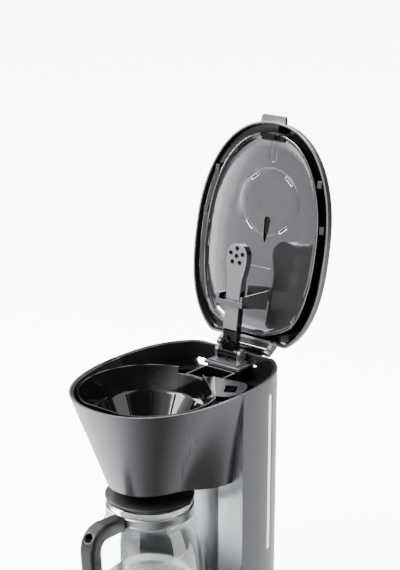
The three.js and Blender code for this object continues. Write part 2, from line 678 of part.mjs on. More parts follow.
function carafeGlass() {
  const outside = GLASS_PROFILE.map(([r, z]) => [r, z + CARAFE_Z]);
  const inside = GLASS_PROFILE.slice(1).map(([r, z]) => [r - 2.2, Math.max(z, 2.4) + CARAFE_Z]).toReversed();
  return turned([...outside, ...inside, [0, 2.4 + CARAFE_Z]], 0, BREW_Y, 30);
}

function carafeBand() {
  const z = CARAFE_Z + 113;
  return turned([[47.9, z], [50.6, z], [50.6, z + 11], [47.9, z + 11], [47.9, z]], 0, BREW_Y, 36);
}

function carafeHandle() {
  const front = BREW_Y - 51;
  const z = CARAFE_Z;
  const profile = new THREE.Shape();
  profile.moveTo(front, z + 124);
  profile.lineTo(front - 30, z + 127);
  profile.quadraticCurveTo(front - 52, z + 126, front - 54, z + 104);
  profile.lineTo(front - 50, z + 44);
  profile.quadraticCurveTo(front - 47, z + 26, front - 34, z + 26);
  profile.quadraticCurveTo(front - 28, z + 28, front - 30, z + 36);
  profile.quadraticCurveTo(front - 38, z + 40, front - 38, z + 52);
  profile.lineTo(front - 41, z + 100);
  profile.quadraticCurveTo(front - 40, z + 113, front - 28, z + 113);
  profile.lineTo(front, z + 112);
  const geometry = new THREE.ExtrudeGeometry(profile, {
    depth: 15, bevelEnabled: true, bevelSize: 2, bevelThickness: 2, bevelSegments: 1, curveSegments: 4 });
  const turn = new THREE.Matrix4().makeBasis(
    new THREE.Vector3(0, 1, 0), new THREE.Vector3(0, 0, 1), new THREE.Vector3(1, 0, 0));
  return solid(geometry.applyMatrix4(turn).translate(-7.5, 0, 0))
    .subtract(upright(51, 0, BREW_Y, z + 60, z + 140, 64))
    .subtract(alongY(2.3, front - 20, front + 20, 0, z + 118.5, 12))
    .subtract(alongY(4.4, front - 60, front - 9, 0, z + 118.5, 16));
}

function handleScrew() {
  const z = CARAFE_Z + 118.5;
  const head = alongY(3.9, BREW_Y - 63.4, BREW_Y - 60.4, 0, z, 16);
  return head.add(alongY(2, BREW_Y - 61, BREW_Y - 51.2, 0, z, 12));
}

function carafeLid() {
  const z = CARAFE_Z;
  return turned([
    [0, z + 129], [44, z + 129], [44.6, z + 133], [49, z + 133.2], [51, z + 134.6],
    [50, z + 137.4], [36, z + 141], [14, z + 142], [10, z + 140.6], [0, z + 140.6],
  ], 0, BREW_Y, 36).subtract(upright(6, 0, BREW_Y, z + 120, z + 150, 16));
}

// ---- Materials ----
function finish(color, roughness, metalness = 0) {
  return () => new THREE.MeshStandardMaterial({ color, roughness, metalness });
}

const anthracite = finish("#77787a", 0.38, 0.35);
const blackGloss = finish("#131315", 0.12);
const blackMatt = finish("#1d1d1f", 0.55);
const greyGloss = finish("#3a3b3d", 0.18);
const paleGrey = finish("#a9aaab", 0.3);
const clear = finish("#eef2f4", 0.1);
const glass = finish("#dfe8ea", 0.04);
const rubber = finish("#161616", 0.85);
const silicone = finish("#d9d9d4", 0.6);
const steel = finish("#b9bbbd", 0.3, 0.95);
const aluminium = finish("#a5a8ab", 0.45, 0.9);
const enamel = finish("#26272a", 0.5, 0.4);
const redLens = finish("#a8231c", 0.2);

// ---- Assembly ----
const machine = new THREE.Group();
machine.position.set(0, CENTRE_SHIFT, 0);
const lid = new THREE.Group();
lid.position.set(0, HINGE.y, HINGE.z);
lid.rotation.x = THREE.MathUtils.degToRad(-LID_OPEN);
const arm = new THREE.Group();
arm.position.set(0, ARM_PIVOT.y, ARM_PIVOT.z);
arm.rotation.x = THREE.MathUtils.degToRad(-ARM_OPEN);
machine.add(lid, arm);

// Pieces are drawn in the rim's frame, so a piece of the lid or the arm is moved back from its hinge.
function place(parent, name, manifold, material, x = 0, y = 0) {
  const mesh = new THREE.Mesh(toGeometry(manifold), material());
  mesh.name = name;
  mesh.position.set(x, y, 0);
  if (parent !== machine) mesh.position.sub(parent.position);
  parent.add(mesh);
}

place(machine, "outer_housing", outerHousing(), anthracite);
place(machine, "level_window", levelWindow(), clear);
place(machine, "top_tray", topTray(), blackGloss);
place(machine, "yoke_pocket", yokePocket(), greyGloss);
place(machine, "filter_well", filterWell(), blackMatt);
place(machine, "water_tank", waterTank(), blackGloss);
place(machine, "level_float", levelFloat(), redLens);

place(machine, "base_housing", baseHousing(), anthracite);
place(machine, "base_plate", basePlate(), blackMatt);
place(machine, "foot_front_left", foot(), rubber, -58, -74);
place(machine, "foot_front_right", foot(), rubber, 58, -74);
place(machine, "foot_rear_left", foot(), rubber, -52, 88);
place(machine, "foot_rear_right", foot(), rubber, 52, 88);
SCREW_PLACES.forEach(([x, y], i) => place(machine, `base_screw_${i + 1}`, baseScrew(), steel, x, y));

place(machine, "warming_plate", warmingPlate(), enamel);
place(machine, "plate_gasket", plateGasket(), silicone);
place(machine, "heater_tube", heaterTube(), aluminium);
place(machine, "thermostat", thermostat(), steel);
place(machine, "thermal_fuse", thermalFuse(), silicone);
place(machine, "check_valve", checkValve(), silicone);
place(machine, "cold_hose", coldHose(), silicone);
place(machine, "hot_hose", hotHose(), silicone);
place(machine, "riser_tube", riserTube(), silicone);

place(machine, "rocker_bezel", rockerBezel(), blackMatt);
place(machine, "power_rocker", powerRocker(), greyGloss);
place(machine, "switch_body", switchBody(), blackMatt);
place(machine, "indicator_lens", indicatorLens(), redLens);
place(machine, "cord_gland", cordGland(), rubber);

place(machine, "arm_bracket", armBracket(), blackGloss);
place(machine, "arm_pin", armPin(), steel);
place(arm, "spout_arm", spoutArm(), blackGloss);
place(arm, "spout_plate", spoutPlate(), paleGrey);

place(machine, "hinge_bracket", hingeBracket(), blackGloss);
place(machine, "hinge_pin", hingePin(), steel);
place(lid, "lid_shell", lidShell(), anthracite);
place(lid, "lid_cover", lidCover(), greyGloss);
place(lid, "lid_yoke", lidYoke(), blackGloss);
place(lid, "lid_latch", lidLatch(), blackGloss);
place(lid, "lid_clip_front_left", lidClip(), blackMatt, -74.4, -78);
place(lid, "lid_clip_front_right", lidClip(), blackMatt, 74.4, -78);
place(lid, "lid_clip_rear_left", lidClip(), blackMatt, -85, -26);
place(lid, "lid_clip_rear_right", lidClip(), blackMatt, 85, -26);

place(machine, "brew_basket", brewBasket(), blackGloss);
place(machine, "drip_valve", dripValve(), blackMatt);
place(machine, "valve_seal", valveSeal(), silicone);
place(machine, "valve_spring", valveSpring(), steel);
place(machine, "valve_cage", valveCage(), blackMatt);

place(machine, "carafe_glass", carafeGlass(), glass);
place(machine, "carafe_band", carafeBand(), steel);
place(machine, "carafe_handle", carafeHandle(), blackMatt);
place(machine, "handle_screw", handleScrew(), steel);
place(machine, "carafe_lid", carafeLid(), blackMatt);

export default machine;
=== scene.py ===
import json
import math

import bmesh
import bpy
from mathutils import Matrix, Vector


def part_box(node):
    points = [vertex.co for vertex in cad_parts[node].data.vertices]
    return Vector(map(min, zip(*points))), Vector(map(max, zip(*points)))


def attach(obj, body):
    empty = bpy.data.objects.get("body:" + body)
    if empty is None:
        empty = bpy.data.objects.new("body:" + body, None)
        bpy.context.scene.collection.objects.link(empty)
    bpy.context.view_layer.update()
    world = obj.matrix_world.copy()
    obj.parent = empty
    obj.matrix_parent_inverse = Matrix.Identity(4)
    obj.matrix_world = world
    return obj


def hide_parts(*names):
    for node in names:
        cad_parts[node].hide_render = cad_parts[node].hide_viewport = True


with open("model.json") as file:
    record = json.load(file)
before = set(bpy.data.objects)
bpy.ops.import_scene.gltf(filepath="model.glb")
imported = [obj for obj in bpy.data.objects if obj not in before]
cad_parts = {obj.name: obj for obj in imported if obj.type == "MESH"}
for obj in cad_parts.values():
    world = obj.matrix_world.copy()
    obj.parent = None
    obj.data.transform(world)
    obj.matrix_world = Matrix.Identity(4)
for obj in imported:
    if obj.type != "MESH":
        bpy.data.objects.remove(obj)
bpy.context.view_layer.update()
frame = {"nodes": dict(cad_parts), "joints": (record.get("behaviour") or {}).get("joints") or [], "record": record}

# ---- Studio ----
# A pale floor and four soft lights: overhead, left, front and right. What the glossy plastic
# reflects is the surroundings, whose grey changes with height and direction: windows at the left
# and behind, and a dark room elsewhere.


def linear(code):
    """A hex sRGB colour as linear red, green, blue and alpha."""
    shares = [int(code[i:i + 2], 16) / 255 for i in (1, 3, 5)]
    return [*(c / 12.92 if c <= 0.04045 else ((c + 0.055) / 1.055) ** 2.4 for c in shares), 1.0]


def add(tree, kind, inputs=None, **settings):
    """Adds a node to a tree, with its settings, and links or sets its inputs."""
    made = tree.nodes.new(kind)
    for name, value in settings.items():
        setattr(made, name, value)
    for name, value in (inputs or {}).items():
        if isinstance(value, bpy.types.NodeSocket):
            tree.links.new(value, made.inputs[name])
        else:
            made.inputs[name].default_value = value
    return made


def paint_ramp(ramp, stops):
    """Sets a colour ramp to grey levels at the given places."""
    ramp.color_ramp.interpolation = "EASE"
    while len(ramp.color_ramp.elements) < len(stops):
        ramp.color_ramp.elements.new(0.5)
    for element, (place, level) in zip(ramp.color_ramp.elements, stops):
        element.position = place
        element.color = (level, level, level, 1)


scene = bpy.context.scene
world = bpy.data.worlds.new("studio")
world.use_nodes = True
scene.world = world
sky = world.node_tree
sky.nodes.clear()
facing = add(sky, "ShaderNodeSeparateXYZ",
             {"Vector": add(sky, "ShaderNodeTexCoord").outputs["Generated"]})
turn = add(sky, "ShaderNodeMath", {0: facing.outputs["Y"], 1: facing.outputs["X"]},
           operation="ARCTAN2")
share = add(sky, "ShaderNodeMapRange", {"Value": turn.outputs[0], "From Min": -math.pi,
                                        "From Max": math.pi})
bands = []
for stops in (
        # under the horizon: what the housing's sides reflect
        [(0.0, 1.0), (0.08, 0.8), (0.147, 0.55), (0.22, 0.30), (0.31, 0.14), (0.40, 0.05),
         (0.47, 0.02), (0.53, 0.06), (0.58, 0.20), (0.65, 0.26), (0.88, 0.6), (1.0, 1.0)],
        # level with the machine: what the open lid's inside reflects
        [(0.0, 0.16), (0.08, 0.17), (0.147, 0.20), (0.17, 0.30), (0.20, 0.62), (0.24, 1.0),
         (0.33, 1.0), (0.39, 0.10), (0.46, 0.01), (0.72, 0.02), (0.86, 0.22), (0.95, 0.15)],
        # half way up, where the room is dark
        [(0.0, 0.34), (0.16, 0.42), (0.22, 0.02), (0.95, 0.02), (1.0, 0.34)],
        # high up: windows at the left and behind, which show in the cone and on rounded edges
        [(0.05, 0.02), (0.09, 1.0), (0.17, 1.0), (0.25, 0.5), (0.32, 0.14), (0.345, 0.01),
         (0.49, 0.01), (0.505, 0.8), (0.585, 0.8), (0.60, 0.01), (0.67, 0.01), (0.72, 1.0),
         (0.93, 1.0), (1.0, 0.02)]):
    band = add(sky, "ShaderNodeValToRGB", {"Fac": share.outputs[0]})
    paint_ramp(band, stops)
    bands.append(band.outputs[0])
around = bands[0]
for band, (low, high) in zip(bands[1:], ((-0.27, -0.16), (0.17, 0.25), (0.42, 0.50))):
    height = add(sky, "ShaderNodeMapRange", {"Value": facing.outputs["Z"], "From Min": low,
                                             "From Max": high})
    around = add(sky, "ShaderNodeMixRGB", {"Fac": height.outputs[0], "Color1": around,
                                           "Color2": band}).outputs[0]
add(sky, "ShaderNodeOutputWorld", {"Surface": add(
    sky, "ShaderNodeBackground", {"Color": around, "Strength": 4.2}).outputs["Background"]})


def softbox(name, place, aim, size, watts, in_gloss=True):
    """A square soft light at a place, aimed at a point."""
    lamp = bpy.data.lights.new(name, "AREA")
    lamp.shape = "SQUARE"
    lamp.size = size
    lamp.energy = watts
    holder = bpy.data.objects.new(name, lamp)
    holder.location = place
    holder.rotation_euler = (Vector(aim) - Vector(place)).to_track_quat("-Z", "Y").to_euler()
    holder.visible_glossy = in_gloss
    scene.collection.objects.link(holder)


softbox("overhead_light", (0, 0.2, 2.4), (0, 0.1, 0), 2.4, 190, in_gloss=False)
softbox("left_light", (-1.4, -0.3, 0.95), (0, 0, 0.3), 0.6, 30)
softbox("front_light", (-0.75, -1.35, 1.75), (0, 0, 0.3), 0.9, 75)
softbox("right_light", (1.6, 0.4, 0.5), (0, 0, 0.3), 0.9, 45, in_gloss=False)

floor_mesh = bpy.data.meshes.new("floor")
floor_mesh.from_pydata([(-15, -12, 0), (15, -12, 0), (15, 24, 0), (-15, 24, 0)], [],
                       [(0, 1, 2, 3)])
floor = bpy.data.objects.new("floor", floor_mesh)
scene.collection.objects.link(floor)
# The floor neither lights the machine nor shows in its gloss.
floor.visible_glossy = floor.visible_diffuse = False
paper = bpy.data.materials.new("matt paper")
paper.use_nodes = True
paper.node_tree.nodes.clear()
grey = add(paper.node_tree, "ShaderNodeBsdfDiffuse", {"Color": linear("#f6f6f6")})
glow = add(paper.node_tree, "ShaderNodeEmission", {"Strength": 7.0})
both = add(paper.node_tree, "ShaderNodeAddShader", {0: grey.outputs[0], 1: glow.outputs[0]})
add(paper.node_tree, "ShaderNodeOutputMaterial", {"Surface": both.outputs[0]})
floor_mesh.materials.append(paper)

DOWN, ROUND = 17.18, 38.91  # degrees: how far the camera looks down and stands round to the right
camera = bpy.data.cameras.new("camera")
camera.sensor_width = 36
camera.lens = 87.09
eye = bpy.data.objects.new("camera", camera)
eye.location = (0.9378, -1.1363, 0.8631)
eye.rotation_euler = (math.radians(90 - DOWN), 0, math.radians(ROUND))
scene.collection.objects.link(eye)
scene.camera = eye

# ---- Outer housing ----
# One moulding in metallic-look ABS: the filter housing narrows downwards in front, and the column
# behind it stays upright, with a hollow for the carafe. Pieces are drawn in millimetres round the
# middle of the oval rim and brought to their place, in metres, once they are finished.
BREW_AXIS = (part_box("warming_plate")[0].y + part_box("warming_plate")[1].y) / 2 * 1000
RIM_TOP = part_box("outer_housing")[1].z * 1000
BREW_Y = -46  # basket and carafe axis, from the middle of the rim
SHIFT = BREW_AXIS - BREW_Y
RIM = {"half_width": 95.2, "front": 135.9, "reach": 126.7, "back": 114.1}
REAR_POWER, FRONT_POWER = 2.58, 2.22  # how square the oval's halves are; 2 is a true ellipse
WALL = 2.5
SHARP = 38  # degrees; edges sharper than this are rounded
JOINTS = {joint["name"]: joint for joint in frame["joints"]}


def even(points, count):
    """A closed outline walked round in equal steps."""
    lengths = [math.dist(p, q) for p, q in zip(points, points[1:] + points[:1])]
    whole = sum(lengths)
    out, walked, i = [], 0.0, 0
    for k in range(count):
        target = whole * k / count
        while walked + lengths[i] < target:
            walked += lengths[i]
            i += 1
        t = (target - walked) / lengths[i] if lengths[i] else 0
        p, q = points[i], points[(i + 1) % len(points)]
        out.append((p[0] + (q[0] - p[0]) * t, p[1] + (q[1] - p[1]) * t))
    return out


def oval(size, inset=0.0, count=180):
    """The egg-shaped plan: two half superellipses, the rear one cut straight across."""
    half = size["half_width"] - inset
    front, reach, back = size["front"] - inset, size["reach"] - inset, size["back"] - inset
    end = math.asin((back / reach) ** (REAR_POWER / 2))
    rear = []
    for i in range(61):
        t = end * i / 60
        rear.append((half * math.cos(t) ** (2 / REAR_POWER),
                     reach * math.sin(t) ** (2 / REAR_POWER)))
    points = rear + [(-x, y) for x, y in reversed(rear)]
    for i in range(1, 160):
        t = math.pi * i / 160
        side = abs(math.cos(t)) ** (2 / FRONT_POWER) * (-1 if math.cos(t) > 0 else 1)
        points.append((half * side, -front * math.sin(t) ** (2 / FRONT_POWER)))
    return even(points, count)


def piece_of(name, points, faces):
    """A new object from points in millimetres."""
    mesh = bpy.data.meshes.new(name)
    mesh.from_pydata([tuple(p) for p in points], [], faces)
    made = bpy.data.objects.new(name, mesh)
    scene.collection.objects.link(made)
    return made


def loft(name, levels, ring=False):
    """A skin through (outline, height) levels, capped, or closed on itself as a ring."""
    count = len(levels[0][0])
    points = [(x, y, z) for outline, z in levels for x, y in outline]
    last = len(levels) if ring else len(levels) - 1
    faces = []
    for row in range(last):
        low, high = row * count, (row + 1) % len(levels) * count
        for i in range(count):
            j = (i + 1) % count
            faces.append((low + i, low + j, high + j, high + i))
    if not ring:
        top = (len(levels) - 1) * count
        faces += [tuple(reversed(range(count))), tuple(range(top, top + count))]
    return piece_of(name, points, faces)


def prism(outline, low, high):
    """A flat-ended cutter or block from a plan outline."""
    return loft("prism", [(outline, low), (outline, high)])


def block(x0, x1, y0, y1, z0, z1):
    return prism([(x0, y0), (x1, y0), (x1, y1), (x0, y1)], z0, z1)


def circle(radius, x=0.0, y=0.0, count=96):
    return [(x + radius * math.cos(2 * math.pi * i / count),
             y + radius * math.sin(2 * math.pi * i / count)) for i in range(count)]


def bake(piece):
    """Applies a piece's modifiers to its mesh."""
    graph = bpy.context.evaluated_depsgraph_get()
    shaped = bpy.data.meshes.new_from_object(piece.evaluated_get(graph))
    piece.modifiers.clear()
    piece.data = shaped


def combine(piece, other, operation):
    """Cuts, joins or keeps the shared part of two solids; the second one is used up."""
    step = piece.modifiers.new("combine", "BOOLEAN")
    step.operation = operation
    step.object = other
    step.solver = "EXACT"
    bake(piece)
    bpy.data.objects.remove(other)
    return piece


def cut(piece, *others):
    for other in others:
        combine(piece, other, "DIFFERENCE")
    return piece


def join(piece, *others):
    for other in others:
        combine(piece, other, "UNION")
    return piece


def clean(shell):
    """Joins doubled points and flat neighbours, then splits faces with more than four sides."""
    bmesh.ops.remove_doubles(shell, verts=shell.verts, dist=0.01)
    bmesh.ops.dissolve_limit(shell, angle_limit=math.radians(0.6), verts=shell.verts,
                             edges=shell.edges)
    bmesh.ops.triangulate(shell, faces=[face for face in shell.faces if len(face.verts) > 4],
                          ngon_method="EAR_CLIP")


def round_edges(piece, width, steps=2):
    """Rounds every sharp edge, as the mould or the press does."""
    shell = bmesh.new()
    shell.from_mesh(piece.data)
    clean(shell)
    bare = bpy.data.meshes.new(piece.name)
    shell.to_mesh(bare)
    shell.free()
    for layer in list(bare.attributes):
        if layer.name == "custom_normal":
            bare.attributes.remove(layer)
    piece.data = bare
    bevel = piece.modifiers.new("round", "BEVEL")
    bevel.width = width
    bevel.segments = steps
    bevel.limit_method = "ANGLE"
    bevel.angle_limit = math.radians(SHARP)
    bevel.use_clamp_overlap = False
    bake(piece)
    return piece


def joint_turn(joint):
    """Brings what is drawn at a joint's lowest limit to where it is at rest."""
    pivot = Vector(JOINTS[joint]["pos_m"])
    angle = math.radians(JOINTS[joint]["range_deg"][0])
    return Matrix.Translation(pivot) @ Matrix.Rotation(angle, 4, "X") @ Matrix.Translation(-pivot)


def settle(piece, name, body, material, nodes=(), joint=None, smooth=32):
    """Names a finished piece, brings it to its place in metres and fixes it to its body."""
    piece.name = name
    mesh = piece.data
    mesh.transform(Matrix.Scale(0.001, 4) @ Matrix.Translation((0, SHIFT, 0)))
    if joint:
        mesh.transform(joint_turn(joint))
    mesh.shade_smooth()
    mesh.set_sharp_from_angle(angle=math.radians(smooth))
    mesh.materials.clear()
    mesh.materials.append(material)
    level = piece.modifiers.new("level", "WEIGHTED_NORMAL")
    level.keep_sharp = True
    bake(piece)
    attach(piece, body)
    if nodes:
        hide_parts(*nodes)
    return piece


def moulded(name, code, gloss, spread, grain, depth, metallic=0.0, ior=1.53):
    """Injection-moulded plastic: the tool's texture gives the bump and the gloss drifts softly.
    grain is the size of the texture and depth its height, both in millimetres."""
    made = bpy.data.materials.new(name)
    made.use_nodes = True
    tree = made.node_tree
    tree.nodes.clear()
    place = add(tree, "ShaderNodeTexCoord").outputs["Object"]
    drift = add(tree, "ShaderNodeTexNoise", {"Vector": place, "Scale": 28.0, "Detail": 2.0})
    texture = add(tree, "ShaderNodeTexNoise", {"Vector": place, "Scale": 1000 / grain,
                                               "Detail": 3.0, "Roughness": 0.6})
    rough = add(tree, "ShaderNodeMapRange", {"Value": drift.outputs["Fac"], "From Min": 0.3,
                                             "From Max": 0.7, "To Min": gloss - spread,
                                             "To Max": gloss + spread})
    shade = add(tree, "ShaderNodeMapRange", {"Value": texture.outputs["Fac"], "From Min": 0.3,
                                             "From Max": 0.7, "To Min": 0.93, "To Max": 1.0})
    tone = add(tree, "ShaderNodeVectorMath", {0: linear(code)[:3], "Scale": shade.outputs[0]},
               operation="SCALE")
    bump = add(tree, "ShaderNodeBump", {"Height": texture.outputs["Fac"],
                                        "Distance": depth / 1000, "Strength": 1.0})
    shader = add(tree, "ShaderNodeBsdfPrincipled", {
        "Base Color": tone.outputs[0], "Metallic": metallic, "Roughness": rough.outputs[0],
        "IOR": ior, "Normal": bump.outputs[0]})
    add(tree, "ShaderNodeOutputMaterial", {"Surface": shader.outputs["BSDF"]})
    return made


# Aluminium flake in the plastic gives a soft silvery sheen; the flakes are drawn 0.9 mm wide,
# coarser than they are, so that the sheen is not flat.
metallic_abs = moulded("metallic ABS, moulded", "#76777a", 0.30, 0.03, 0.9, 0.003, metallic=0.95)

RIM_STEP = 0.4  # the housing's side starts this far inside the rim's oval
TAPER = 0.36  # and comes in by this much for each millimetre down
COLUMN_FRONT = 3
FLARE_LENGTH = 55  # the sides curve out towards the column over this length
FLARE = 0.62  # and go this share of the way to it
FLOOR_Z = 195  # underside of the filter housing
COLUMN_FOOT = 37.3  # where the column stands on the base
BAY = 78  # radius of the hollow for the carafe


def column(inset, low, high):
    """The upright rear part of the oval."""
    body = prism(oval(RIM, inset), low, high)
    return combine(body, block(-130, 130, COLUMN_FRONT + inset, 140, low - 1, high + 1),
                   "INTERSECT")


def upper_body(inset, low, high, flare=0.0):
    """The tapering filter housing joined to the upright column behind it."""
    levels = []
    for i in range(9):
        z = low + (high - low) * i / 8
        outline = []
        for (x, y), (wide, deep) in zip(oval(RIM, inset + RIM_STEP + TAPER * (RIM_TOP - z)),
                                        oval(RIM, inset)):
            share = min(1.0, max(0.0, (y + FLARE_LENGTH) / (FLARE_LENGTH + COLUMN_FRONT)))
            share = flare * share * share * (3 - 2 * share)
            outline.append((x + (wide - x) * share, y + (deep - y) * share))
        levels.append((outline, z))
    return join(loft("upper", levels), column(inset, low, high))


def rear_cutter(outline):
    """A cutter straight through the rear wall, from its outline seen from the front."""
    cutter = prism(outline, -130, -96)
    cutter.data.transform(Matrix.Rotation(math.radians(90), 4, "X"))
    return cutter


def overflow_cut():
    """A long hole high in the rear wall, where too much water runs out."""
    x, z, half, radius = -49, RIM_TOP - 26, 3.5, 5.0
    return rear_cutter([(x + half * s + radius * math.cos(t), z + radius * math.sin(t))
                        for s, start in ((1, -math.pi / 2), (-1, math.pi / 2))
                        for t in [start + math.pi * i / 12 for i in range(13)]])


def steam_notch(x):
    """A small three-sided vent in the rear wall."""
    z = RIM_TOP - 13.5
    return rear_cutter([(x - 4.4, z + 2.6), (x - 4.4, z - 3), (x + 4.6, z)])


def rear_cuts():
    return [overflow_cut(), steam_notch(18.7), steam_notch(30.5)]


ALONG_X = Matrix(((0, 0, 1, 0), (1, 0, 0, 0), (0, 1, 0, 0), (0, 0, 0, 1)))


def rod_x(radius, x0, x1, y, z, count=48):
    rod = prism([(y + px, z + py) for px, py in circle(radius, count=count)], x0, x1)
    rod.data.transform(ALONG_X)
    return rod


def window_cut():
    """A slot with a round top in the right side, for the level window."""
    half, y, low, high = 4.7, 61.5, 92, RIM_TOP - 23.7
    return join(block(80, 100, y - half, y + half, low, high), rod_x(half, 80, 100, y, high))


outer = join(upper_body(0, FLOOR_Z, RIM_TOP, FLARE), column(0, COLUMN_FOOT, FLOOR_Z + 0.1))
cut(outer, prism(circle(BAY, y=BREW_Y, count=160), 34, FLOOR_Z))
hollow = join(upper_body(WALL, FLOOR_Z + WALL, RIM_TOP + 1, FLARE),
              column(WALL, 36, FLOOR_Z + WALL + 0.1))
cut(hollow, prism(circle(BAY + WALL, y=BREW_Y, count=160), 30, FLOOR_Z + WALL))
drip_hole = prism(circle(16, y=BREW_Y), FLOOR_Z - 1, FLOOR_Z + WALL + 1)
cut(outer, hollow, drip_hole, window_cut(), *rear_cuts())
round_edges(outer, 0.5)
settle(outer, "housing_moulding", "housing", metallic_abs, ["outer_housing"])

# ---- Tray under the lid ----
# A glossy black liner with openings for the basket, for filling water on both sides, for the
# lid's yoke and for the riser tube. It is dropped into the housing and clipped.
# Polished steel tooling leaves the gloss black pieces mirror-like, with only the slightest
# waviness; the tray itself is a little duller.
gloss_abs = moulded("gloss black ABS, moulded", "#070708", 0.07, 0.02, 9.0, 0.02, ior=1.42)
tray_abs = moulded("black ABS, moulded", "#121214", 0.2, 0.04, 9.0, 0.02)
DECK = RIM_TOP - 32
tray = cut(upper_body(2.8, DECK - 2.4, RIM_TOP - 0.8), upper_body(4.8, DECK, RIM_TOP + 1))
cut(tray, prism(circle(67.8, y=BREW_Y, count=128), DECK - 5, DECK + 5))
for side in (1, -1):
    opening = combine(prism(oval(RIM, 14), DECK - 5, DECK + 5),
                      block(27 if side > 0 else -84, 84 if side > 0 else -27, 34, 98,
                            DECK - 6, DECK + 6), "INTERSECT")
    cut(tray, cut(opening, prism(circle(BAY, y=BREW_Y, count=128), DECK - 6, DECK + 6)))
cut(tray, block(-20, 20, 47, 82, DECK - 5, DECK + 5), prism(circle(5.1, y=98), DECK - 5, DECK + 5),
    *rear_cuts())
round_edges(tray, 0.45)
settle(tray, "tray_liner", "housing", tray_abs, ["top_tray"])


def softened(node, width, steps=2):
    """A piece with the shape of a fixed solid and its edges rounded as moulded or pressed."""
    piece = bpy.data.objects.new(node + "_rounded", frame["nodes"][node].data.copy())
    scene.collection.objects.link(piece)
    piece.data.transform(Matrix.Translation((0, -SHIFT, 0)) @ Matrix.Scale(1000, 4))
    return round_edges(piece, width, steps)


# The pocket that takes the lid's yoke is gloss black; its rim is painted a lighter grey as a painted highlight.
grey_abs_and_highlight = moulded("gloss grey ABS and painted highlight", "#77787b", 0.16, 0.04, 6.0, 0.015, metallic=0.8)
pocket = softened("yoke_pocket", 0.4)
pocket_rim = max(v.co.z for v in pocket.data.vertices)
settle(pocket, "yoke_pocket_moulding", "housing", gloss_abs, ["yoke_pocket"])
pocket.data.materials.append(grey_abs_and_highlight)  # on the rim only
# Painted highlight: the faces at the top of the rim get the lighter grey.
for face in pocket.data.polygons:
    face.material_index = int(face.center.z > (pocket_rim - 0.5) / 1000)

# ---- Lid ----
# A shallow dome in the same metallic ABS with a finger tab in front. Inside it a glossy dark
# cover is held by four clips; its slots and drop-shaped hole drain the steam's water.
LID = {"half_width": 95.9, "front": 142.0, "reach": 132.4, "back": 119.2}
LIP = RIM_TOP + 2  # the lid's lower edge when it is shut
# Both outlines are pairs of a distance in from the oval and a height over the lip.
dome = [(0, 0), (0, 7.6), (0.25, 8.8), (0.9, 10.0), (2.0, 11.1), (4.0, 12.0), (7, 12.7),
        (14, 13.7), (26, 15.1), (42, 16.1), (60, 16.8), (78, 17.2)]
lid_shell = loft("lid", [(oval(LID, inset), LIP + z) for inset, z in dome])
under = [(WALL, -1), (WALL, 7.4), (3.2, 8.6), (5, 9.4), (8, 10.2), (14, 11.2), (27, 12.7),
         (42, 13.7), (60, 14.4), (78, 14.8)]
cut(lid_shell, loft("under", [(oval(LID, inset), LIP + z) for inset, z in under]))
tab = [(-18.5, -LID["front"] + 4)]
for x, start in ((-17.5, 180), (17.5, 270)):
    for i in range(9):
        t = math.radians(start + 90 * i / 8)
        corner = x + (4 if x < 0 else -4)
        tab.append((corner + 4 * math.cos(t), -LID["front"] - 4 + 4 * math.sin(t)))
tab.append((18.5, -LID["front"] + 4))
tab_block = cut(prism(tab, LIP + 0.6, LIP + 5.4), prism(oval(LID, 1), LIP - 1, LIP + 8))
join(lid_shell, tab_block)
HINGE_Y, HINGE_Z = 128.5, RIM_TOP - 1.5
for x0 in (33.0, -38.4):
    side_view = [(HINGE_Y - 12, LIP + 9.4), (HINGE_Y - 12, LIP + 1), (HINGE_Y - 4, HINGE_Z - 1),
                 (HINGE_Y + 3, HINGE_Z - 1), (HINGE_Y + 4, HINGE_Z + 2), (HINGE_Y - 4, LIP + 9.4)]
    ear = prism(side_view, x0, x0 + 5.4)
    ear.data.transform(ALONG_X)
    join(ear, rod_x(4.6, x0, x0 + 5.4, HINGE_Y, HINGE_Z))
    cut(ear, rod_x(2.5, x0 - 1, x0 + 7, HINGE_Y, HINGE_Z),
        block(-40, 40, 60, LID["back"] - WALL, LIP - 2, LIP + 7))
    join(lid_shell, ear)
# A low apron closes the gap between the ears.
join(lid_shell, block(-33.2, 33.2, LID["back"] - 4, 125.5, LIP + 2.2, LIP + 4.4),
     block(-33.2, 33.2, 119.5, 122, LIP + 2.2, LIP + 9))
round_edges(lid_shell, 0.5)
# Behind the inner cover the shell's inside is painted gloss black as painted shade, so nothing bright shows in the
# gaps.
painted_shade_faces = [face.index for face in lid_shell.data.polygons
          if face.normal.z < -0.5 and face.center.z > LIP + 8.8]
settle(lid_shell, "lid_dome", "lid", metallic_abs, ["lid_shell"], "lid_hinge")
# Painted shade: the shell's faces behind the cover get the gloss black.
lid_shell.data.materials.append(gloss_abs)
for index in painted_shade_faces:
    lid_shell.data.polygons[index].material_index = 1

COVER = {"half_width": 81.0, "front": 129.0, "reach": 128.0, "back": 113.0}


def cover_outline(inset, count=180):
    """The cover's plan: the front of an oval and a rear with its corners cut off."""
    shrink, deep = 1 - inset / COVER["half_width"], 1 - inset / COVER["back"]
    rear = [(80.8, 8), (80.5, 20), (78.5, 42), (74, 64), (67.5, 83), (60, 95), (46, 103), (21, 112)]
    right = [(x * shrink, y * deep) for x, y in rear]
    front = [p for p in oval(COVER, inset, 240) if p[1] <= 0.01]
    front.sort(key=lambda p: math.atan2(p[1], p[0]))
    return even(right + [(-x, y) for x, y in reversed(right)] + front, count)


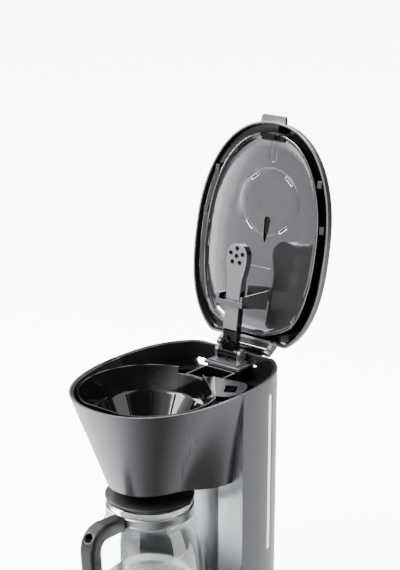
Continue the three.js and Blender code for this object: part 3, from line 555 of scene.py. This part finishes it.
EDGE = RIM_TOP + 3.2
rise = [(0, 0), (0, 2), (3, 4.4), (8, 7.4), (14, 9.6), (22, 11.2), (34, 12.2), (46, 12.4),
        (60, 12.5)]
cover = loft("cover", [(cover_outline(inset), EDGE + z) for inset, z in rise])
bowl = [(1.6, -1), (1.7, 0.4), (2.4, 1.9), (3.4, 3.4), (4.8, 4.9), (6.6, 6.0), (9.5, 7.0), (14, 8.0),
        (19, 8.8), (25, 9.5), (33, 10.1), (42, 10.5), (54, 10.8), (66, 10.9)]
cut(cover, loft("bowl", [(cover_outline(inset), EDGE + z) for inset, z in bowl]))
dish = [(circle(r, y=BREW_Y, count=120), EDGE + z) for r, z in
        ((43.6, 6), (43.4, 10.2), (41.6, 10.8), (39, 11.25), (35.4, 11.6), (30, 11.75),
         (24, 11.83), (18, 11.88), (12, 11.9), (6, 11.9))]
cut(cover, loft("dish", dish))


def capsule(x, y, length, width, degrees):
    """A long round-ended outline."""
    half, turned = (length - width) / 2, math.radians(degrees)
    outline = []
    for end in (1, -1):
        for i in range(13):
            t = (-math.pi / 2 if end > 0 else math.pi / 2) + math.pi * i / 12
            u, v = end * half + width / 2 * math.cos(t), width / 2 * math.sin(t)
            outline.append((x + u * math.cos(turned) - v * math.sin(turned),
                            y + u * math.sin(turned) + v * math.cos(turned)))
    return outline


# A low bead in a U runs back from the latch, and another straight across in front of the yoke.
beads = cut(prism(capsule(0, -109, 30, 8.0, 90), EDGE + 5, EDGE + 12),
            prism(capsule(0, -109, 28.6, 6.6, 90), EDGE + 4, EDGE + 13))
join(beads, block(-24, 16, 31.4, 32.4, EDGE + 8, EDGE + 12))
cut(beads, loft("bowl", [(cover_outline(inset), EDGE + z - 0.4) for inset, z in bowl]))
join(cover, beads)
DRAINS = ((-24.5, 29, -40), (24.5, 29, 40), (-24.5, -29, 40), (24.5, -29, -40))
for x, y, degrees in DRAINS:
    cut(cover, loft("slot", [(capsule(x, BREW_Y - y, 10.5 + width, width, degrees), EDGE + z)
                             for width, z in ((4.2, -2), (4.2, 10.8), (2.0, 12.1), (2.0, 20))]))
drop = [(4.4 * math.cos(t), -25 + 4.4 * math.sin(t)) for t in
        [math.radians(180 + 180 * i / 16) for i in range(17)]]
drop += [(3.4, -12), (1.6, -2), (0, 3), (-1.6, -2), (-3.4, -12)]
cut(cover, prism(drop, EDGE - 2, EDGE + 20),
    block(-17, 17, -140, -119.5, EDGE - 3, EDGE + 20))
round_edges(cover, 0.35)
# Polished and flake-filled, so it mirrors the arm softly; the slots' slanted edges are painted near-white as a
# painted glint.
smoke_abs = moulded("smoke grey ABS, polished", "#7b7c7f", 0.06, 0.015, 12.0, 0.02, metallic=0.9)
painted_glint_abs = moulded("smoke grey ABS, painted glint", "#e9eaec", 0.3, 0.02, 12.0, 0.01, metallic=0.2)
painted_glint_faces = [face.index for face in cover.data.polygons if 0.2 < abs(face.normal.z) < 0.85
          and any(math.dist(face.center[:2], (x, BREW_Y - y)) < 9 for x, y, _ in DRAINS)
          and face.center.z > EDGE + 10.4]
settle(cover, "lid_inner_cover", "lid", smoke_abs, ["lid_cover"], "lid_hinge")
# Painted glint: the slots' slanted edges get the near-white finish.
cover.data.materials.append(painted_glint_abs)
for index in painted_glint_faces:
    cover.data.polygons[index].material_index = 1

yoke = settle(softened("lid_yoke", 0.45), "yoke_moulding", "lid", gloss_abs,
              ["lid_yoke"])
# Painted highlight: the yoke's front-facing faces get the lighter grey, and the rest stays gloss black.
yoke.data.materials.append(grey_abs_and_highlight)
for face in yoke.data.polygons:
    face.material_index = int(face.normal.y < -0.7)
settle(softened("lid_latch", 0.4), "latch_moulding", "lid", gloss_abs,
       ["lid_latch"])
# Polypropylene from a sparked tool: dull, with a fine even grain.
matt_pp = moulded("matt black PP, moulded", "#0d0d0e", 0.42, 0.05, 1.2, 0.02)
for corner in ("front_left", "front_right", "rear_left", "rear_right"):
    settle(softened(f"lid_clip_{corner}", 0.5), f"clip_{corner}", "lid", matt_pp,
           [f"lid_clip_{corner}"])

# ---- Hinge and spout arm ----
# The lid turns on a steel pin through a glossy bracket on the housing's back; the arm that
# carries the hot water has its own pin and bracket on the tray, and a grey spray plate.
# The brush marks run across the machine and stretch the highlights the other way.
steel = bpy.data.materials.new("stainless steel, brushed")
steel.use_nodes = True
tree = steel.node_tree
tree.nodes.clear()
place = add(tree, "ShaderNodeTexCoord").outputs["Object"]
along = add(tree, "ShaderNodeMapping", {"Vector": place, "Scale": (40, 900, 900)})
brush = add(tree, "ShaderNodeTexNoise", {"Vector": along.outputs[0], "Scale": 1.0, "Detail": 4.0})
rough = add(tree, "ShaderNodeMapRange", {"Value": brush.outputs["Fac"], "To Min": 0.2,
                                         "To Max": 0.42})
lines = add(tree, "ShaderNodeBump", {"Height": brush.outputs["Fac"], "Distance": 0.00003})
add(tree, "ShaderNodeOutputMaterial", {"Surface": add(tree, "ShaderNodeBsdfPrincipled", {
    "Base Color": linear("#b8babd"), "Metallic": 1.0, "Roughness": rough.outputs[0],
    "Normal": lines.outputs[0]}).outputs["BSDF"]})

settle(softened("hinge_bracket", 0.35), "hinge_moulding", "housing", gloss_abs,
       ["hinge_bracket"])
settle(softened("hinge_pin", 0.35), "hinge_pin_turned", "housing", steel, ["hinge_pin"])
settle(softened("arm_bracket", 0.45), "arm_bracket_moulding", "housing", grey_abs_and_highlight,
       ["arm_bracket"])
settle(softened("arm_pin", 0.35), "arm_pin_turned", "housing", steel, ["arm_pin"])
settle(softened("spout_arm", 0.5), "spout_arm_moulding", "spout", gloss_abs,
       ["spout_arm"])
plate_abs = moulded("satin grey ABS, moulded", "#8f9194", 0.22, 0.04, 2.0, 0.004, metallic=0.75)
settle(softened("spout_plate", 0.4), "spray_plate", "spout", plate_abs,
       ["spout_plate"])

# Each of the six spray holes, five in a ring and one in the middle, has a raised rim.
ARM_REACH = 116  # from the arm's pivot to the middle of the spray head
RING = 5
swing = Vector(JOINTS["spout_swing"]["pos_m"]) * 1000
rims, head_y = None, swing.y - SHIFT - ARM_REACH
for i in range(RING + 1):
    t = math.pi / 2 + 2 * math.pi * i / RING
    out = 0 if i == RING else 9
    rim = loft("rim", [(circle(r, out * math.cos(t), head_y - out * math.sin(t), 32), swing.z + z)
                       for r, z in ((3.1, -5.9), (2.9, -6.5), (2.4, -6.5), (2.2, -5.9))], ring=True)
    rims = join(rims, rim) if rims else rim
settle(rims, "spray_hole_rims", "spout", grey_abs_and_highlight, joint="spout_swing")

# ---- Brew basket ----
# A lift-out funnel in glossy black plastic: a flat in front, a flat with a finger grip at the
# right, a notch that lets the arm swing, and ribs that hold the paper filter off the wall.
TOP = RIM_TOP - 2
SHOULDER = DECK + 0.3  # the height at which the basket rests on the tray
FRONT_FLAT, SIDE_FLAT = 74, 68.5  # from the funnel's axis
SIDE_TURN = 49.5  # degrees from straight right round to the back, where the side flat is


def revolve(name, profile, y=BREW_Y, x=0.0, count=120):
    """A turned solid from (radius, height) pairs, bottom to top; radius 0 closes an end."""
    made = loft(name, [(circle(max(r, 0.001), x, y, count), z) for r, z in profile])
    shell = bmesh.new()
    shell.from_mesh(made.data)
    bmesh.ops.remove_doubles(shell, verts=shell.verts, dist=0.005)
    shell.to_mesh(made.data)
    shell.free()
    return made


def basket_bounds(inset):
    """The room between the two flats, less an inset."""
    slab = block(-400, SIDE_FLAT - inset, -200, 200, 150, 320)
    slab.data.transform(Matrix.Translation((0, BREW_Y, 0))
                        @ Matrix.Rotation(math.radians(SIDE_TURN), 4, "Z"))
    return combine(slab, block(-100, 100, BREW_Y - FRONT_FLAT + inset, 100, 140, 330),
                   "INTERSECT")


textured_abs = moulded("textured black ABS, moulded", "#08080a", 0.34, 0.05, 1.2, 0.02, ior=1.35)
basket = combine(revolve("basket", [(0, 206), (27, 206), (66.6, SHOULDER - 3), (66.6, SHOULDER),
                                    (70, SHOULDER), (79, TOP), (0, TOP)]),
                 basket_bounds(0), "INTERSECT")
grip = [(20, 26), (30, 34), (62, 39.5), (69, 39.4), (75, 36.5), (80, 29), (83.4, 20), (84.6, 12),
        (83, 4), (80.5, -3), (76, -8), (68, -12), (58, -14)]
hole = [(56, 21), (69, 27), (78, 10), (67, 3)]
grip_plate = cut(prism(grip[::-1], TOP - 5, TOP - 2), prism(circle(66, y=BREW_Y), 250, 320),
                 prism(hole[::-1], TOP - 8, TOP))
join(basket, grip_plate)
inside = combine(revolve("inside", [(0, 208.4), (25.4, 208.4), (64.4, SHOULDER - 1),
                                    (68, SHOULDER + 2), (77, TOP + 1), (0, TOP + 1)]),
                 basket_bounds(2), "INTERSECT")
cut(basket, inside, block(-18, 19, 10, 60, TOP - 7, TOP + 5), prism(circle(4, y=BREW_Y), 203, 212))
round_edges(basket, 0.4)
settle(basket, "basket_moulding", "basket", gloss_abs, ["brew_basket"])
basket.data.materials.append(textured_abs)  # the finger grip has a fine matt texture
for face in basket.data.polygons:
    face.material_index = int(face.normal.z > 0.9 and face.center.x > 0.05)

ribs = bpy.data.node_groups.new("ribs in a funnel", "GeometryNodeTree")
ribs.interface.new_socket("Geometry", in_out="OUTPUT", socket_type="NodeSocketGeometry")
settings = {"Count": ("NodeSocketInt", 14), "Low Radius": ("NodeSocketFloat", 27.4),
            "High Radius": ("NodeSocketFloat", 64.2), "Low": ("NodeSocketFloat", 210.6),
            "High": ("NodeSocketFloat", 274.0), "Width": ("NodeSocketFloat", 0.8),
            "Finish": ("NodeSocketMaterial", gloss_abs)}
sockets = {name: ribs.interface.new_socket(name, in_out="INPUT", socket_type=kind)
           for name, (kind, _) in settings.items()}
given = add(ribs, "NodeGroupInput").outputs
start = add(ribs, "ShaderNodeCombineXYZ", {"X": given["Low Radius"], "Z": given["Low"]})
end = add(ribs, "ShaderNodeCombineXYZ", {"X": given["High Radius"], "Z": given["High"]})
spine = add(ribs, "GeometryNodeCurvePrimitiveLine", {"Start": start.outputs[0],
                                                     "End": end.outputs[0]})
section = add(ribs, "GeometryNodeCurvePrimitiveCircle", {"Resolution": 8,
                                                         "Radius": given["Width"]})
rib = add(ribs, "GeometryNodeCurveToMesh", {"Curve": spine.outputs[0],
                                            "Profile Curve": section.outputs[0],
                                            "Fill Caps": True})
spots = add(ribs, "GeometryNodePoints", {"Count": given["Count"]})
step = add(ribs, "ShaderNodeMath", {0: 2 * math.pi, 1: given["Count"]}, operation="DIVIDE")
angle = add(ribs, "ShaderNodeMath", {0: add(ribs, "GeometryNodeInputIndex").outputs[0],
                                     1: step.outputs[0]}, operation="MULTIPLY")
turned = add(ribs, "ShaderNodeCombineXYZ", {"Z": angle.outputs[0]})
copies = add(ribs, "GeometryNodeInstanceOnPoints", {
    "Points": spots.outputs[0], "Instance": rib.outputs[0], "Rotation": turned.outputs[0]})
real = add(ribs, "GeometryNodeRealizeInstances", {"Geometry": copies.outputs[0]})
coated = add(ribs, "GeometryNodeSetMaterial", {"Geometry": real.outputs[0],
                                               "Material": given["Finish"]})
add(ribs, "NodeGroupOutput", {"Geometry": coated.outputs[0]})
basket_ribs = piece_of("ribs", [(0, 0, 0)], [])
maker = basket_ribs.modifiers.new("ribs", "NODES")
maker.node_group = ribs
for name, (kind, value) in settings.items():
    maker[sockets[name].identifier] = value
bake(basket_ribs)
basket_ribs.data.transform(Matrix.Translation((0, BREW_Y, 0)))
settle(basket_ribs, "basket_ribs", "basket", gloss_abs, smooth=60)

# ---- Carafe ----
# Blown glass with a steel band that carries the handle, and a moulded lid with a hole for the
# coffee. The glass is clear with a faint waviness, thicker at the foot.
OWNER = {node: body for body, nodes in frame["record"]["behaviour"]["bodies"].items()
         for node in nodes}
FINISH = {part["node"]: part["material_slot"] for part in frame["record"]["subparts"]}


def see_through(name, code, ior, wave_height, cloud=0.04):
    """Clear glass or plastic with faint waves in its surface."""
    made = bpy.data.materials.new(name)
    made.use_nodes = True
    tree = made.node_tree
    tree.nodes.clear()
    place = add(tree, "ShaderNodeTexCoord").outputs["Object"]
    wave = add(tree, "ShaderNodeTexNoise", {"Vector": place, "Scale": 45.0, "Detail": 2.0})
    ripple = add(tree, "ShaderNodeBump", {"Height": wave.outputs["Fac"],
                                          "Distance": wave_height / 1000})
    shader = add(tree, "ShaderNodeBsdfPrincipled", {
        "Base Color": linear(code), "Roughness": cloud, "IOR": ior, "Transmission Weight": 1.0,
        "Normal": ripple.outputs[0]})
    add(tree, "ShaderNodeOutputMaterial", {"Surface": shader.outputs["BSDF"]})
    return made


def flowing(points, steps=7):
    """A smooth curve through (radius, height) points."""
    ends = [points[0], *points, points[-1]]
    out = []
    for a, b, c, d in zip(ends, ends[1:], ends[2:], ends[3:]):
        for i in range(steps):
            t = i / steps
            out.append(tuple(0.5 * (2 * q + (r - p) * t + (2 * p - 5 * q + 4 * r - u) * t ** 2
                                    + (3 * q - p - 3 * r + u) * t ** 3)
                             for p, q, r, u in zip(a, b, c, d)))
    return out + [points[-1]]


glass = see_through("borosilicate glass, blown", "#f7faf9", 1.47, 0.05)
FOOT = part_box("carafe_glass")[0].z * 1000
outside = flowing([(52, 0), (60, 6), (65, 24), (66, 44), (63, 74), (54, 100), (47.5, 112),
                   (47.5, 126), (49.5, 132)])
skin = ([(0, FOOT), (20, FOOT), (40, FOOT)] + [(r, FOOT + z) for r, z in outside]
        + [(r - 2.2, FOOT + max(z, 2.4)) for r, z in reversed(outside)]
        + [(40, FOOT + 2.4), (20, FOOT + 2.4), (0, FOOT + 2.4)])
settle(revolve("glass", skin, count=144), "carafe_glass_blown", "carafe", glass,
       ["carafe_glass"], smooth=50)
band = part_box("carafe_band")
low, high = band[0].z * 1000, band[1].z * 1000
collar = loft("band", [(circle(r, y=BREW_Y, count=144), z) for r, z in (
    (47.9, low), (50.2, low), (50.6, low + 0.4), (50.6, low + 1.6), (50.3, low + 2.0),
    (50.3, high - 2.0), (50.6, high - 1.6), (50.6, high - 0.4), (50.2, high), (47.9, high))],
              ring=True)
settle(collar, "carafe_band_rolled", "carafe", steel, ["carafe_band"])
LID_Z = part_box("carafe_lid")[0].z * 1000
cap = [(0, 0), (43.4, 0), (44, 0.5), (44.6, 4), (45.2, 4.2), (48.6, 4.2), (50, 4.6), (50.9, 5.4),
       (51, 6.2), (50.6, 7.6), (49.6, 8.5), (43, 10.4), (36, 12), (25, 12.6), (14, 13), (12.6, 12.8),
       (11.2, 11.9), (10, 11.6), (0, 11.6)]
carafe_lid = cut(revolve("cap", [(r, LID_Z + z) for r, z in cap], count=144),
                 prism(circle(6, y=BREW_Y, count=48), LID_Z - 3, LID_Z + 20))
settle(carafe_lid, "carafe_lid_moulding", "carafe", matt_pp, ["carafe_lid"])


def refine(finish, width, *nodes, steps=2):
    """Replaces solids with the same shape, its edges rounded, in one finish."""
    for node in nodes:
        settle(softened(node, width, steps), node + "_finished", OWNER[node], finish,
               [node])


refine(matt_pp, 1.6, "carafe_handle", steps=4)
refine(steel, 0.3, "handle_screw")

# ---- Base, switch and hotplate ----
# The base is the same metallic moulding, closed below by a black plate on four rubber feet. The
# rocker switch sits in a matt bezel; the hotplate has a sprayed non-stick coating.
# Sprayed coating is speckled and dull, rubber duller still, and polycarbonate clean and shiny.
coating = moulded("non-stick coating, sprayed", "#1c1d1f", 0.4, 0.06, 0.8, 0.03)
rubber = moulded("EPDM rubber, moulded", "#161616", 0.75, 0.06, 1.4, 0.03, ior=1.5)
red = moulded("red polycarbonate, moulded", "#a8231c", 0.15, 0.03, 3.0, 0.01)
refine(metallic_abs, 0.9, "base_housing", steps=3)
refine(matt_pp, 0.6, "base_plate", "rocker_bezel")
refine(gloss_abs, 0.6, "power_rocker", steps=3)
refine(red, 0.3, "indicator_lens")
refine(rubber, 0.7, "cord_gland", "foot_front_left", "foot_front_right", "foot_rear_left",
       "foot_rear_right")
refine(steel, 0.25, "base_screw_1", "base_screw_2", "base_screw_3", "base_screw_4")
plate_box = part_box("warming_plate")
ground = plate_box[0].z * 1000
reach = (plate_box[1].x - plate_box[0].x) * 500
hotplate = [(0, 0), (reach - 1.4, 0), (reach, 0.9), (reach, 2.2), (reach - 0.4, 2.9),
            (reach - 1.2, 3.2), (reach - 2.8, 3.2), (reach - 3.6, 3.0), (reach - 4.4, 2.9),
            (reach - 18, 2.9), (reach - 18.4, 2.75), (reach - 19.4, 2.75), (reach - 19.8, 2.9),
            (20, 2.9), (0, 2.9)]
settle(revolve("hotplate", [(r, ground + z) for r, z in hotplate], count=144),
       "warming_plate_coated", "housing", coating, ["warming_plate"])

# ---- Level window and water parts ----
# A frosted window stands in front of the red float; hoses and the heater tube lie in the base.
# The window and the silicone hoses are milky and soft, and drawn aluminium is a plain dull grey.
frosted = moulded("frosted polycarbonate, moulded", "#ffffff", 0.35, 0.04, 1.2, 0.01)
silicone = moulded("silicone, moulded", "#d6d5cf", 0.5, 0.05, 1.6, 0.02, ior=1.41)
aluminium = moulded("aluminium, drawn", "#a7aaad", 0.4, 0.06, 1.0, 0.02, metallic=1.0, ior=1.5)
refine(frosted, 0.3, "level_window")
refine(red, 0.5, "level_float")
# Every fixed solid gets the finish that its slot names, those inside the machine among them.
finishes = {"housing": metallic_abs, "black_gloss": gloss_abs, "cover_grey": smoke_abs,
            "plate_grey": plate_abs, "black_matt": matt_pp, "clear_plastic": frosted,
            "carafe_glass": glass, "rubber": rubber, "silicone": silicone, "steel": steel,
            "aluminium": aluminium, "hotplate": coating, "red_plastic": red}
for node, slot in FINISH.items():
    for holder in frame["nodes"][node].material_slots:
        holder.material = finishes[slot]
